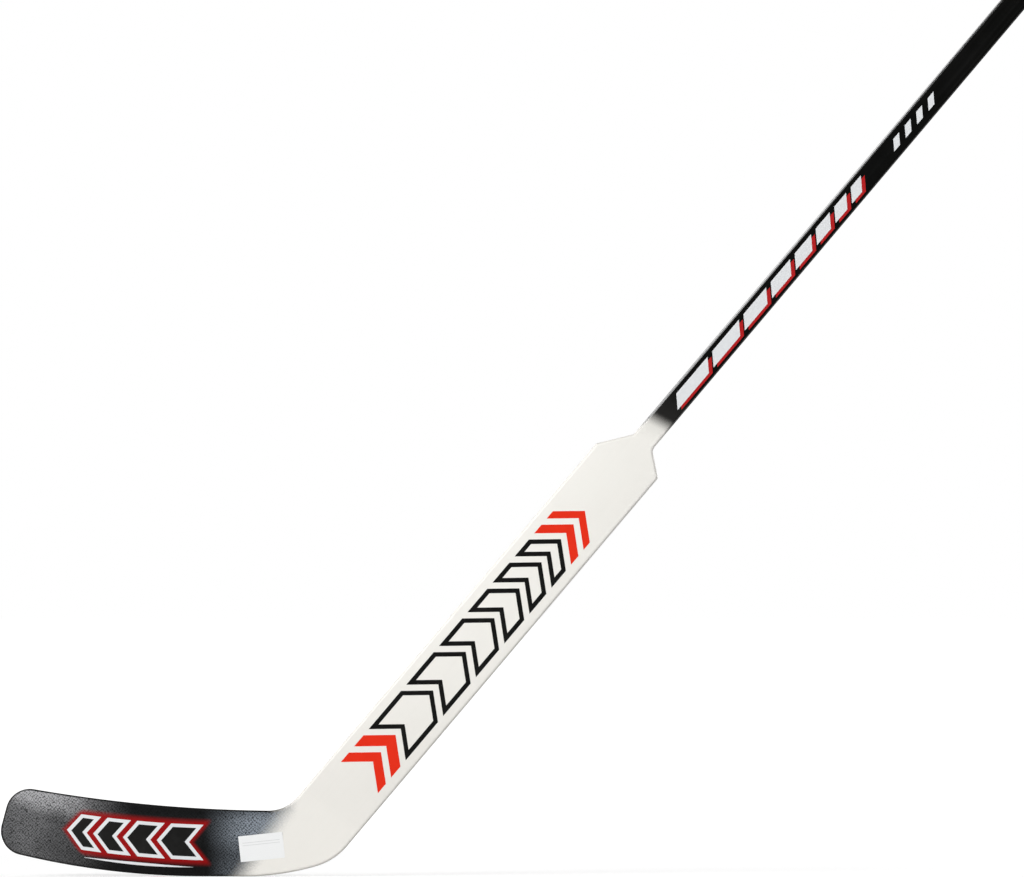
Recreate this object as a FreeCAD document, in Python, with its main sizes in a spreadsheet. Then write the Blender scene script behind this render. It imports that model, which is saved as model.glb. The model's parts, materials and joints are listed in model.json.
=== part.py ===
import FreeCAD, Part
import os
import Sketcher

# A foam-core hockey goalie stick, standing as it is held: the sole rests on the floor at z = 0,
# the blade points along -X, the paddle and the shaft rise towards +X, and the faces look along Y.
# The origin is the middle of the flat stretch of the sole. Lengths are in mm, angles in degrees.

SIZES = {
    # The whole stick. Lengths along the paddle and the shaft start at the heel's corner.
    "stick_length": 1471.0,
    "stick_thickness": 20.0,
    "lie_angle": 49.8,
    "edge_round": 3.5,
    "butt_chamfer": 1.0,
    # Shaft and paddle outline. The inner side is the blade's side.
    "shaft_width": 29.8,
    "paddle_width": 86.4,
    "paddle_length": 641.0,
    "inner_shoulder_drop": 39.0,
    "outer_shoulder_drop": 22.4,
    "shoulder_softening": 1.5,
    "neck_radius": 10.0,
    # Blade outline: a flat sole that rises along an arc to the toe and a tighter one to the heel.
    "sole_flat": 54.0,
    "sole_toe_radius": 980.0,
    "sole_heel_radius": 313.0,
    "heel_rise_angle": 20.9,
    "heel_radius": 80.0,
    "toe_reach": 283.6,
    "toe_top_reach": 262.5,
    "toe_radius": 30.0,
    "blade_height": 81.1,
    "blade_top_radius": 1860.0,
    "crotch_radius": 46.0,
    # Blade curve, seen from above: it bends to the back and thins towards the toe.
    "curve_start": 49.0,
    "curve_depth": 26.0,
    "toe_thickness": 15.0,
    # Plies and strips.
    "skin": 0.8,
    "lamination": 4.0,
    "paddle_edge_strip": 6.0,
    "shoulder_block": 62.0,
    "blade_top_strip": 8.0,
    "blade_sole_strip": 9.0,
    "blade_toe_strip": 30.0,
    # Heel joint: the block's tapered tongues go up into the shaft core and along into the blade core.
    "joint_height": 44.0,
    "heel_block_reach": 24.0,
    "shaft_tongue_length": 112.0,
    "shaft_tongue_root": 7.0,
    "shaft_tongue_tip": 2.5,
    "blade_tongue_length": 70.0,
    "blade_tongue_low": 24.0,
    "blade_tongue_high": 60.0,
    "blade_tongue_root": 8.0,
    "blade_tongue_tip": 3.0,
    # How far a cutting shape runs past what it cuts.
    "overrun": 20.0,
}

# Two places closer than this count as one.
MATCH = 0.001
# A surface belongs to a face of the stick, and not to its sides, if its normal has more than this along Y.
FACING_SHARE = 0.5

doc = FreeCAD.newDocument("GoalieStick")


def make_sheet():
    """The driving dimensions, one row each."""
    table = doc.addObject("Spreadsheet::Sheet", "Sizes")
    for row, (name, size) in enumerate(SIZES.items(), start=1):
        table.set(f"A{row}", name)
        table.set(f"B{row}", str(size))
        table.setAlias(f"B{row}", name)
    doc.recompute()
    return table


sheet = make_sheet()

# Places that several pieces share, as expressions over the sheet.
LIE = "Sizes.lie_angle"
HALF = "(Sizes.stick_thickness / 2)"
HEEL_X = "(Sizes.sole_flat / 2 + Sizes.sole_heel_radius * sin(Sizes.heel_rise_angle))"
HEEL_Z = "(Sizes.sole_heel_radius * (1 - cos(Sizes.heel_rise_angle)))"
CROTCH_X = f"({HEEL_X} - (Sizes.paddle_width - (Sizes.blade_height - {HEEL_Z}) * cos({LIE})) / sin({LIE}))"
SHAFT_OUT = "((Sizes.paddle_width - Sizes.shaft_width) / 2)"
SHAFT_IN = "((Sizes.paddle_width + Sizes.shaft_width) / 2)"
SKIN_TOP = "(Sizes.paddle_length + Sizes.neck_radius)"
FAR_LEFT = "(-Sizes.toe_reach - Sizes.overrun)"
FAR_RIGHT = f"({HEEL_X} + Sizes.stick_length * cos({LIE}) + Sizes.overrun)"
FAR_UP = f"({HEEL_Z} + Sizes.stick_length * sin({LIE}) + Sizes.paddle_width + Sizes.overrun)"
FAR_DEEP = f"({HALF} + Sizes.curve_depth + Sizes.overrun)"
CORE_LOW = f"(Sizes.skin - {HALF})"
CORE_DEPTH = "(Sizes.stick_thickness - 2 * Sizes.skin)"
BACK_SKIN = f"({HALF} - Sizes.skin)"
SKIN_REACH = f"({FAR_DEEP} - {BACK_SKIN})"


def value(expression):
    """What an expression over the sheet comes to."""
    return float(sheet.evalExpression(expression))


def up_the_stick(along, across):
    """The x and z of a place that far up the paddle's outer edge from the heel and that far in from it."""
    x = f"{HEEL_X} + ({along}) * cos({LIE}) - ({across}) * sin({LIE})"
    z = f"{HEEL_Z} + ({along}) * sin({LIE}) + ({across}) * cos({LIE})"
    return x, z


def arc_height(foot, radius, run, inset="0"):
    """The height of an arc that starts level at foot, that far along it, seen that far inside the curve."""
    return f"({foot} + ({radius}) - sqrt((({radius}) - ({inset}))^2 - ({run})^2))"


def vector(place):
    """A sketch point from a pair of expressions."""
    return FreeCAD.Vector(value(place[0]), value(place[1]), 0)


def arc_between(start, end, radius):
    """The arc of that radius from start to end, on the left of the straight way if the radius is positive."""
    chord = end - start
    side = FreeCAD.Vector(-chord.y, chord.x, 0).normalize()
    rise = abs(radius) - (radius**2 - (chord.Length / 2) ** 2) ** 0.5
    middle = (start + end) * 0.5 + side * (rise if radius > 0 else -rise)
    return Part.Arc(start, middle, end)


def draw(body, name, plane, places, arcs):
    """A closed, fully constrained outline: places joined in order, straight or by the arc that arcs gives."""
    sketch = body.newObject("Sketcher::SketchObject", name)
    sketch.AttachmentSupport = [(next(f for f in body.Origin.OriginFeatures if f.Role == plane), "")]
    sketch.MapMode = "FlatFace"
    points = [vector(place) for place in places]
    ends = []
    for index, start in enumerate(points):
        end = points[(index + 1) % len(points)]
        if index in arcs:
            line = sketch.addGeometry(arc_between(start, end, value(arcs[index])))
            radius = sketch.addConstraint(Sketcher.Constraint("Radius", line, abs(value(arcs[index]))))
            sketch.setExpression(f"Constraints[{radius}]", f"abs({arcs[index]})")
        else:
            line = sketch.addGeometry(Part.LineSegment(start, end))
        forward = (sketch.getPoint(line, 1) - start).Length < (sketch.getPoint(line, 2) - start).Length
        ends.append((line, 1, 2) if forward else (line, 2, 1))
    for index, (line, first, _) in enumerate(ends):
        before, _, last = ends[index - 1]
        sketch.addConstraint(Sketcher.Constraint("Coincident", before, last, line, first))
        for kind, place in zip(("DistanceX", "DistanceY"), places[index]):
            at = sketch.addConstraint(Sketcher.Constraint(kind, line, first, value(place)))
            sketch.setExpression(f"Constraints[{at}]", place)
    return sketch


def pad(body, sketch, length, symmetric=False):
    """The sketch raised along its normal, or to both sides of its plane."""
    feature = body.newObject("PartDesign::Pad", f"{sketch.Name}_pad")
    feature.Profile = sketch
    feature.SideType = "Symmetric" if symmetric else "One side"
    feature.setExpression("Length", length)
    doc.recompute()
    return feature


def pocket(body, sketch):
    """The sketch cut right through, to both sides of its plane."""
    before = body.Shape.Volume
    feature = body.newObject("PartDesign::Pocket", f"{sketch.Name}_pocket")
    feature.Profile = sketch
    feature.SideType = "Symmetric"
    feature.Type = "ThroughAll"
    doc.recompute()
    if not feature.Shape.Volume < before:
        raise RuntimeError(f"{feature.Name} cuts nothing")
    return feature


def ease(body, kind, name, base, edges, size):
    """A Fillet or a Chamfer along the edges of those numbers."""
    feature = body.newObject(f"PartDesign::{kind}", name)
    feature.Base = (base, [f"Edge{edge}" for edge in edges])
    feature.setExpression("Radius" if kind == "Fillet" else "Size", size)
    doc.recompute()
    return feature


def cross_edges(shape, places):
    """The numbers of the edges that run straight through the stick's thickness at the given places."""
    found = []
    for place in places:
        spot = vector(place)
        for number, edge in enumerate(shape.Edges, start=1):
            if all(abs(v.X - spot.x) + abs(v.Z - spot.y) < MATCH for v in edge.Vertexes):
                found.append(number)
    return found


def butt_edges(shape):
    """The numbers of the edges round the butt's square end."""
    along = FreeCAD.Vector(value(f"cos({LIE})"), 0, value(f"sin({LIE})"))
    heel = FreeCAD.Vector(value(HEEL_X), 0, value(HEEL_Z))
    end = value("Sizes.stick_length") - MATCH
    edges = enumerate(shape.Edges, start=1)
    return [number for number, edge in edges if all((v.Point - heel).dot(along) > end for v in edge.Vertexes)]


def rim_edges(shape):
    """The numbers of the edges between a face of the stick and its sides, but not those round the butt."""
    found = []
    for number, edge in enumerate(shape.Edges, start=1):
        middle = edge.valueAt((edge.FirstParameter + edge.LastParameter) / 2)
        faces = shape.ancestorsOfType(edge, Part.Face)
        facing = [abs(face.normalAt(*face.Surface.parameter(middle)).y) for face in faces]
        if max(facing) > FACING_SHARE > min(facing):
            found.append(number)
    return sorted(set(found) - set(butt_edges(shape)))


def face_outline(body, name, face, depth):
    """From above, all that lies outside a surface that runs so deep under the front (-1) or back (1) face."""
    lift = f"({HALF} * {face})"
    swing = f"(Sizes.curve_depth - {face} * (Sizes.stick_thickness - Sizes.toe_thickness) / 2)"
    run = "(Sizes.curve_start + Sizes.toe_reach)"
    radius = f"(({run}^2 + {swing}^2) / (2 * {swing}))"
    inset = f"(-({face}) * ({depth}))"
    flat = f"({lift} + {inset})"
    end = arc_height(lift, radius, f"Sizes.curve_start - {FAR_LEFT}", inset)
    places = [
        (FAR_RIGHT, flat),
        ("Sizes.curve_start", flat),
        (FAR_LEFT, end),
        (FAR_LEFT, f"{face} * 2 * {FAR_DEEP}"),
        (FAR_RIGHT, f"{face} * 2 * {FAR_DEEP}"),
    ]
    return draw(body, name, "XY_Plane", places, {1: f"{radius} - {inset}"})


def make_form():
    """The outer form of the whole stick, from which every ply and block is then cut."""
    heel = (HEEL_X, HEEL_Z)
    outer_shoulder = up_the_stick("Sizes.paddle_length - Sizes.outer_shoulder_drop", "0")
    outer_neck = up_the_stick("Sizes.paddle_length", SHAFT_OUT)
    inner_neck = up_the_stick("Sizes.paddle_length", SHAFT_IN)
    inner_shoulder = up_the_stick("Sizes.paddle_length - Sizes.inner_shoulder_drop", "Sizes.paddle_width")
    crotch = (CROTCH_X, "Sizes.blade_height")
    top_run = f"({CROTCH_X} + Sizes.toe_top_reach)"
    toe_top = ("-Sizes.toe_top_reach", arc_height("Sizes.blade_height", "Sizes.blade_top_radius", top_run))
    sole_run = "(Sizes.toe_reach - Sizes.sole_flat / 2)"
    toe = ("-Sizes.toe_reach", arc_height("0", "Sizes.sole_toe_radius", sole_run))
    shoulder_radius = "Sizes.edge_round + Sizes.shoulder_softening"
    places = [
        ("-Sizes.sole_flat / 2", "0"),
        ("Sizes.sole_flat / 2", "0"),
        heel,
        outer_shoulder,
        outer_neck,
        up_the_stick("Sizes.stick_length", SHAFT_OUT),
        up_the_stick("Sizes.stick_length", SHAFT_IN),
        inner_neck,
        inner_shoulder,
        crotch,
        toe_top,
        toe,
    ]
    arcs = {
        1: "-Sizes.sole_heel_radius",
        places.index(crotch): "Sizes.blade_top_radius",
        places.index(toe): "-Sizes.sole_toe_radius",
    }
    body = doc.addObject("PartDesign::Body", "stick_form")
    outline = draw(body, "side_outline", "XZ_Plane", places, arcs)
    shape = pad(body, outline, f"2 * {FAR_DEEP}", symmetric=True)
    roundings = [
        ("heel_rounding", [heel], "Sizes.heel_radius"),
        ("crotch_rounding", [crotch], "Sizes.crotch_radius"),
        ("toe_rounding", [toe_top, toe], "Sizes.toe_radius"),
        ("shoulder_rounding", [outer_shoulder, inner_shoulder], shoulder_radius),
        ("neck_rounding", [outer_neck, inner_neck], "Sizes.neck_radius"),
    ]
    for name, corners, radius in roundings:
        shape = ease(body, "Fillet", name, shape, cross_edges(shape.Shape, corners), radius)
    pocket(body, face_outline(body, "front_face", -1, "0"))
    shape = pocket(body, face_outline(body, "back_face", 1, "0"))
    shape = ease(body, "Fillet", "edge_rounding", shape, rim_edges(shape.Shape), "Sizes.edge_round")
    ease(body, "Chamfer", "butt_easing", shape, butt_edges(shape.Shape), "Sizes.butt_chamfer")
    return body


def lean(item, along, across, low):
    """Lays an object in line with the shaft: its X up the shaft and its Z inwards, from the given place."""
    x, z = up_the_stick(along, across)
    turn = FreeCAD.Rotation(FreeCAD.Vector(0, 1, 0), -value(LIE))
    item.Placement = FreeCAD.Placement(FreeCAD.Vector(), turn)
    item.setExpression("Placement.Rotation.Angle", f"-{LIE}")
    item.setExpression("Placement.Base.x", x)
    item.setExpression("Placement.Base.y", low)
    item.setExpression("Placement.Base.z", z)


def board(name, along, length, across, width, low=f"-{FAR_DEEP}", depth=f"2 * {FAR_DEEP}"):
    """A straight board in line with the shaft: its start and size along, across and through the stick."""
    box = doc.addObject("Part::Box", name)
    box.setExpression("Length", length)
    box.setExpression("Width", depth)
    box.setExpression("Height", width)
    lean(box, along, across, low)
    return box


def join(kind, name, base, tool):
    """A boolean of two objects."""
    result = doc.addObject(f"Part::{kind}", name)
    result.Base = base
    result.Tool = tool
    return result


def common(name, base, tool):
    """What two objects share."""
    return join("Common", name, base, tool)


def cut(name, base, *tools):
    """The base less each tool in turn."""
    for number, tool in enumerate(tools):
        base = join("Cut", f"{name}_cut_{number}", base, tool)
    return base


def fuse(name, base, *tools):
    """The base grown by each tool in turn."""
    for number, tool in enumerate(tools):
        base = join("Fuse", f"{name}_fuse_{number}", base, tool)
    return base


def make_shaft(form, tongue):
    """The laminated shaft, whose core and plies run on through the paddle as its spine."""
    spine = ("Sizes.joint_height", "Sizes.stick_length", SHAFT_OUT, "Sizes.shaft_width")
    handle = (SKIN_TOP, "Sizes.stick_length", SHAFT_OUT, "Sizes.shaft_width")
    core_half = f"({BACK_SKIN} - Sizes.lamination)"
    boards = {
        "shaft_core": (*spine, f"-{core_half}", f"2 * {core_half}"),
        "shaft_front_lamination": (*spine, CORE_LOW, "Sizes.lamination"),
        "shaft_back_lamination": (*spine, core_half, "Sizes.lamination"),
        "shaft_front_glass_ply": (*handle, f"-{FAR_DEEP}", SKIN_REACH),
        "shaft_back_glass_ply": (*handle, BACK_SKIN, SKIN_REACH),
    }
    pieces = {name: common(name, form, board(f"{name}_blank", *sizes)) for name, sizes in boards.items()}
    pieces["shaft_core"] = cut("shaft_slot", pieces["shaft_core"], tongue)
    return pieces


def make_paddle(form):
    """Foam on both sides of the spine, closed by edge strips and shoulder blocks, between two skins."""
    block_start = "(Sizes.paddle_length - Sizes.shoulder_block)"
    foam_length = f"({block_start} - Sizes.joint_height)"
    block_length = f"({SKIN_TOP} - {block_start})"
    foam_width = f"({SHAFT_OUT} - Sizes.paddle_edge_strip)"
    strip_width = "(Sizes.paddle_edge_strip + Sizes.overrun)"
    block_width = f"({SHAFT_OUT} + Sizes.overrun)"
    inner_strip = "(Sizes.paddle_width - Sizes.paddle_edge_strip)"
    core = (CORE_LOW, CORE_DEPTH)
    whole_length = f"({SKIN_TOP} - Sizes.joint_height)"
    whole = ("Sizes.joint_height", whole_length, "-Sizes.overrun", "Sizes.paddle_width + 2 * Sizes.overrun")
    foam_run = ("Sizes.joint_height", foam_length)
    block_run = (block_start, block_length)
    boards = {
        "paddle_outer_edge_strip": (*foam_run, "-Sizes.overrun", strip_width, *core),
        "paddle_outer_foam": (*foam_run, "Sizes.paddle_edge_strip", foam_width, *core),
        "paddle_outer_shoulder_block": (*block_run, "-Sizes.overrun", block_width, *core),
        "paddle_inner_edge_strip": (*foam_run, inner_strip, strip_width, *core),
        "paddle_inner_foam": (*foam_run, SHAFT_IN, foam_width, *core),
        "paddle_inner_shoulder_block": (*block_run, SHAFT_IN, block_width, *core),
        "paddle_front_skin": (*whole, f"-{FAR_DEEP}", SKIN_REACH),
        "paddle_back_skin": (*whole, BACK_SKIN, SKIN_REACH),
    }
    return {name: common(name, form, board(f"{name}_blank", *sizes)) for name, sizes in boards.items()}


def make_shaft_tongue():
    """The heel block's tongue that tapers up into the shaft core, across the core's whole width."""
    body = doc.addObject("PartDesign::Body", "shaft_tongue")
    lean(body, "0", SHAFT_OUT, "0")
    tip = "Sizes.joint_height + Sizes.shaft_tongue_length"
    places = [
        ("Sizes.joint_height - Sizes.overrun", "-Sizes.shaft_tongue_root / 2"),
        ("Sizes.joint_height", "-Sizes.shaft_tongue_root / 2"),
        (tip, "-Sizes.shaft_tongue_tip / 2"),
        (tip, "Sizes.shaft_tongue_tip / 2"),
        ("Sizes.joint_height", "Sizes.shaft_tongue_root / 2"),
        ("Sizes.joint_height - Sizes.overrun", "Sizes.shaft_tongue_root / 2"),
    ]
    pad(body, draw(body, "shaft_tongue_taper", "XY_Plane", places, {}), "Sizes.shaft_width")
    return body


def block_face(height):
    """The x of the heel block's face towards the blade, at that height."""
    across = "(Sizes.paddle_width + Sizes.heel_block_reach)"
    return f"({HEEL_X} - ({across} - ({height} - {HEEL_Z}) * cos({LIE})) / sin({LIE}))"


def make_blade_tongue():
    """The heel block's other tongue, which tapers along into the blade's core and follows its bend."""
    root = f"({block_face('Sizes.blade_tongue_high')} + Sizes.overrun)"
    tip = f"({block_face('Sizes.blade_tongue_low')} - Sizes.blade_tongue_length)"
    bend = f"(Sizes.curve_depth * ((Sizes.curve_start - {tip}) / (Sizes.curve_start + Sizes.toe_reach))^2)"
    places = [
        (root, "-Sizes.blade_tongue_root / 2"),
        (root, "Sizes.blade_tongue_root / 2"),
        (tip, f"{bend} + Sizes.blade_tongue_tip / 2"),
        (tip, f"{bend} - Sizes.blade_tongue_tip / 2"),
    ]
    body = doc.addObject("PartDesign::Body", "blade_tongue")
    body.setExpression("Placement.Base.z", "Sizes.blade_tongue_low")
    taper = draw(body, "blade_tongue_taper", "XY_Plane", places, {})
    pad(body, taper, "Sizes.blade_tongue_high - Sizes.blade_tongue_low")
    return body


def make_face_zone(name, face):
    """All that lies outside the front (-1) or back (1) skin's inner surface."""
    body = doc.addObject("PartDesign::Body", name)
    pad(body, face_outline(body, f"{name}_outline", face, "Sizes.skin"), f"2 * {FAR_UP}", symmetric=True)
    return body


def make_sole_zone():
    """All that lies under the sole strip's upper surface, which runs level with the sole."""
    depth = "Sizes.blade_sole_strip"
    toe_run = f"(-Sizes.sole_flat / 2 - {FAR_LEFT})"
    toe = (FAR_LEFT, arc_height("0", "Sizes.sole_toe_radius", toe_run, depth))
    heel_radius = f"(Sizes.sole_heel_radius - {depth})"
    heel_x = f"(Sizes.sole_flat / 2 + {heel_radius} * sin({LIE}))"
    places = [
        ("-Sizes.sole_flat / 2", depth),
        ("Sizes.sole_flat / 2", depth),
        (heel_x, f"Sizes.sole_heel_radius - {heel_radius} * cos({LIE})"),
        (heel_x, "-Sizes.overrun"),
        (FAR_LEFT, "-Sizes.overrun"),
        toe,
    ]
    arcs = {1: f"-{heel_radius}", places.index(toe): f"-(Sizes.sole_toe_radius - {depth})"}
    body = doc.addObject("PartDesign::Body", "sole_zone")
    pad(body, draw(body, "sole_zone_outline", "XZ_Plane", places, arcs), f"2 * {FAR_DEEP}", symmetric=True)
    return body


def make_top_zone():
    """All that lies over the top strip's lower surface, which runs level with the blade's top."""
    depth = "Sizes.blade_top_strip"
    run = f"({CROTCH_X} - {FAR_LEFT})"
    toe_height = arc_height("Sizes.blade_height", "Sizes.blade_top_radius", run, f"-{depth}")
    ceiling = f"({toe_height} + {depth} + Sizes.overrun)"
    places = [
        (CROTCH_X, f"Sizes.blade_height - {depth}"),
        (FAR_LEFT, toe_height),
        (FAR_LEFT, ceiling),
        (CROTCH_X, ceiling),
    ]
    body = doc.addObject("PartDesign::Body", "top_zone")
    outline = draw(body, "top_zone_outline", "XZ_Plane", places, {0: f"Sizes.blade_top_radius + {depth}"})
    pad(body, outline, f"2 * {FAR_DEEP}", symmetric=True)
    return body


def make_toe_zone():
    """All that lies beyond the upright line to which the sole strip reaches back round the toe."""
    box = doc.addObject("Part::Box", "toe_zone")
    box.setExpression("Length", f"Sizes.blade_toe_strip - Sizes.toe_top_reach - {FAR_LEFT}")
    box.setExpression("Width", f"2 * {FAR_DEEP}")
    box.setExpression("Height", f"{FAR_UP} + Sizes.overrun")
    box.setExpression("Placement.Base.x", FAR_LEFT)
    box.setExpression("Placement.Base.y", f"-{FAR_DEEP}")
    box.setExpression("Placement.Base.z", "-Sizes.overrun")
    return box


def make_blade(form, shaft_tongue):
    """The blade and heel below the joint: two skins round a core, with strips and a heel block of wood."""
    across = ("-Sizes.overrun", "Sizes.paddle_width + 2 * Sizes.overrun")
    above = board("above_joint", "Sizes.joint_height", "Sizes.stick_length", *across)
    heel_run = ("-Sizes.paddle_length", "2 * Sizes.paddle_length")
    heel_width = "Sizes.paddle_width + Sizes.heel_block_reach + Sizes.overrun"
    heel_zone = board("heel_zone", *heel_run, "-Sizes.overrun", heel_width)
    front_zone = make_face_zone("front_zone", -1)
    back_zone = make_face_zone("back_zone", 1)
    sole_zone = fuse("sole_and_toe_zone", make_sole_zone(), make_toe_zone())
    top_zone = make_top_zone()
    blade_tongue = make_blade_tongue()
    blade = cut("blade", form, above)
    core = cut("blade_core", blade, front_zone, back_zone)
    middle = cut("blade_middle", core, heel_zone, sole_zone)
    heel = cut("heel", common("heel_side", core, heel_zone), sole_zone)
    return {
        "heel_block": fuse("heel_block", heel, shaft_tongue, blade_tongue),
        "blade_foam_core": cut("blade_foam_core", middle, top_zone, blade_tongue),
        "blade_top_strip": common("blade_top_strip", middle, top_zone),
        "blade_sole_strip": common("blade_sole_strip", core, sole_zone),
        "blade_front_skin": common("blade_front_skin", blade, front_zone),
        "blade_back_skin": common("blade_back_skin", blade, back_zone),
    }


def write(pieces):
    """Checks the document and every piece, then writes each piece to its own file."""
    doc.recompute()
    failed = [item.Name for item in doc.Objects if {"Invalid", "Error"} & set(item.State)]
    if failed:
        raise RuntimeError(f"failed: {failed}")
    for name, piece in pieces.items():
        piece.Label = name
        if piece.Shape.isNull() or not piece.Shape.isValid() or len(piece.Shape.Solids) != 1:
            raise RuntimeError(f"{name} is not one valid solid")
    os.makedirs("parts", exist_ok=True)
    for name, piece in pieces.items():
        piece.Shape.exportStep(f"parts/{name}.step")


def main():
    """Builds the stick."""
    form = make_form()
    shaft_tongue = make_shaft_tongue()
    pieces = make_shaft(form, shaft_tongue)
    pieces.update(make_paddle(form))
    pieces.update(make_blade(form, shaft_tongue))
    write(pieces)


main()
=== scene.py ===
"""Looks of a foam-core hockey goalie stick, laid out as a Blender add-on and run as a script.

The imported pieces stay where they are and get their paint. Prints and a blank paper label are added as thin
films on the faces, and a white studio is set up round the stick. Everything is in metres.
"""

import json
import math

import bpy
import numpy as np
from bpy.props import FloatProperty, FloatVectorProperty, IntProperty, PointerProperty
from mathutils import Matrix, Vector


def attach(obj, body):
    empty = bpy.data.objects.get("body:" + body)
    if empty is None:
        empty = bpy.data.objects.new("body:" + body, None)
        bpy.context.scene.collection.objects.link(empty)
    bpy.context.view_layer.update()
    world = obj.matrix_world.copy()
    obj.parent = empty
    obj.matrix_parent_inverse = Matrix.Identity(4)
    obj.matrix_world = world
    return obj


bl_info = {
    "name": "Goalie stick looks",
    "version": (1, 0, 0),
    "blender": (4, 5, 0),
    "location": "3D View > Sidebar > Stick",
    "description": "Paints a laminated goalie stick and adds its prints, its label and a white studio",
    "category": "Object",
}

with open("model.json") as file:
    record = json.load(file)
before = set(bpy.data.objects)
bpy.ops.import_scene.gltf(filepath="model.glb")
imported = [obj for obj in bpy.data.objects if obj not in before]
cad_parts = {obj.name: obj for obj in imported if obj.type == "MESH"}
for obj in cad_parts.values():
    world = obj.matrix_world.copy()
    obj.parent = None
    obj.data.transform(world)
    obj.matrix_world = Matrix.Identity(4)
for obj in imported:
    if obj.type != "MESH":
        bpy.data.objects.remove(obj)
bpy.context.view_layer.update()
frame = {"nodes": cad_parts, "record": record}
BODY = "root"

# The stick's own axes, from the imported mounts: up from the heel, and aside towards the blade's side
MOUNTS = {mount["name"]: mount for mount in frame["record"]["mounts"]}
AXIS = np.array(MOUNTS["butt_end"]["axis"])
ACROSS = np.array((-AXIS[2], 0.0, AXIS[0]))
BUTT = np.array(MOUNTS["butt_end"]["pos_m"])
HALF_THICKNESS = MOUNTS["paddle_back"]["pos_m"][1]
# Length from the heel's corner to the butt, half the paddle's width, and which way each side looks
STICK_LENGTH = 1.471
PADDLE_HALF = 0.0432
SIDES = {"front": -1.0, "back": 1.0}

# The blade's faces: flat near the heel, then one arc to the toe
BEND_START = 0.049
BEND_RUN = 0.3326
BEND_DROP = {"front": 0.0285, "back": 0.0235}
# The blade's midline rises towards the toe as a parabola
MIDLINE_LOW = 0.0415
MIDLINE_FOOT = 0.0089
MIDLINE_RISE = 0.3895

# Prints sit just in the paint, and where two lie on one another the upper one is thicker
SUNK = 0.00002
LOWER_FILM = 0.00006
UPPER_FILM = 0.00010
PAPER = 0.00012
# Width of the tapered line's tips, as a share of its greatest width
TIP = 0.08

# The photo's frame: what its middle looks at, and how wide it is at the stick
VIEW_X = 0.35707
VIEW_Z = 0.54235
VIEW_WIDTH = 1.2687
LENS = 800.0
SENSOR = 36.0
CLIP_END = 200.0

# Most values of a noise, and of the noise drawn out to fibres, lie between these
NOISE_SPAN = (0.3, 0.7)
FIBRE_SPAN = (0.45, 0.8)

# Roughness on faces, on rounded edges in white and in black, and of sawn wood
ENAMEL_ROUGHNESS = (0.29, 0.35)
SHAFT_ROUGHNESS = (0.28, 0.34)
BLADE_ROUGHNESS = (0.29, 0.37)
HEEL_ROUGHNESS = 0.32
INK_ROUGHNESS = (0.29, 0.38)
PAPER_ROUGHNESS = (0.42, 0.55)
DULL_EDGE = 0.65
SHINY_EDGE = 0.10
SAWN_ROUGHNESS = 0.75
# Clear coat on white faces, and how rough a coat is
WHITE_COAT = 0.25
COAT_ROUGHNESS = 0.12
# How much light a square-on look gets back from paint and ink
SHAFT_GLOSS = 0.2
BLADE_GLOSS = 0.08
INK_GLOSS = 0.2

# Relief of paint, fibres and cloth, of pebbled ink and paper, of the sawn end and of foam
PADDLE_PEEL = 0.00003
SHAFT_PEEL = 0.00002
BLADE_PEEL = 0.00003
FIBRE_RELIEF = 0.00003
CLOTH_RELIEF = 0.00008
PEBBLE_RELIEF = 0.00002
SAW_RELIEF = 0.0002
CELL_RELIEF = 0.0003

# Heights up the stick over which the white goes from darker at the heel to its full tone, and the paddle's
# crown starts and ends
HEEL_DARKER_SPAN = (0.05, 0.30)
CROWN_STARTS = (0.044, 0.12)
CROWN_ENDS = (0.60, 0.65)

# Year rings or cloth layers in a metre of a sawn end, their wobble, and the pith that they bend round
CORE_RINGS = 420.0
PLY_RINGS = 900.0
GLASS_LAYERS = 2600.0
RING_WOBBLE = 0.0012
PITH = (0.0, 0.045, 0.02)
# Shares of a wood's colour that its early wood and its pores have
EARLY_WOOD = 1.18
PORE_SHADE = 0.35

# How much the neck's fade leans across the shaft, and how far the specks scatter both fades
NECK_LEAN = 0.2
NECK_SCATTER = 0.010
HEEL_SCATTER = 0.012
# How much lower the neck's fade sits on the outer and on the inner narrow edge, and its haze
NECK_DROP = (0.002, 0.010)
NECK_HAZE = 0.14
# The heel's fade by distance from the stick's outer edge: white up to the first, black from the second
HEEL_FADE = (0.0620, 0.0916)
# Its lean with height, its lean above a height up the stick, and its setback on narrow edges
HEEL_LEAN = -0.12
HEEL_TOP = 0.012
PADDLE_LEAN = -0.40
EDGE_SETBACK = 0.004
# Where the heel's haze, partly thin spray and partly painted sheen, starts, how far it runs at the floor, and
# what it gains with height
HAZE_START = 0.0896
HAZE_REACH = 0.021
HAZE_GAIN = 0.65
# Heights above the midline over which it falls off, and heights above the floor over which it comes up
HAZE_TOP = (0.026, 0.040)
HAZE_SOLE = (0.025, 0.058)
# Stretches along the blade, towards the toe, over which the toe's veil and its streak come up; both are
# partly thin spray and partly painted sheen
TOE_VEIL = (-0.13, -0.24)
STREAK_TAIL = (-0.110, -0.165)
STREAK_HEAD = (-0.155, -0.205)
# Heights above the midline over which the streak comes up, where along the blade they hold, and their lean
STREAK_RISE = (0.008, 0.042)
STREAK_PLACE = 0.22
STREAK_LEAN = 0.12
# How many strands the cloth wanders by, and how much of the haze follows specks rather than strands
WEAVE_DRIFT = 2.1
SPECK_SHARE = 0.52
# How much of the black the red glow covers at most
GLOW_COVER = 0.95

# Points along and up the label, and where its curl starts on the way to the free corner
LABEL_STEPS = (45, 27)
CURL_START = 1.55
# Its two rules: heights, half width and half length as shares of the paper, and strength
RULES = (0.62, 0.72)
RULE_HALF_WIDTH = 0.012
RULE_HALF_LENGTH = 0.42
RULE_STRENGTH = 0.35

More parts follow.
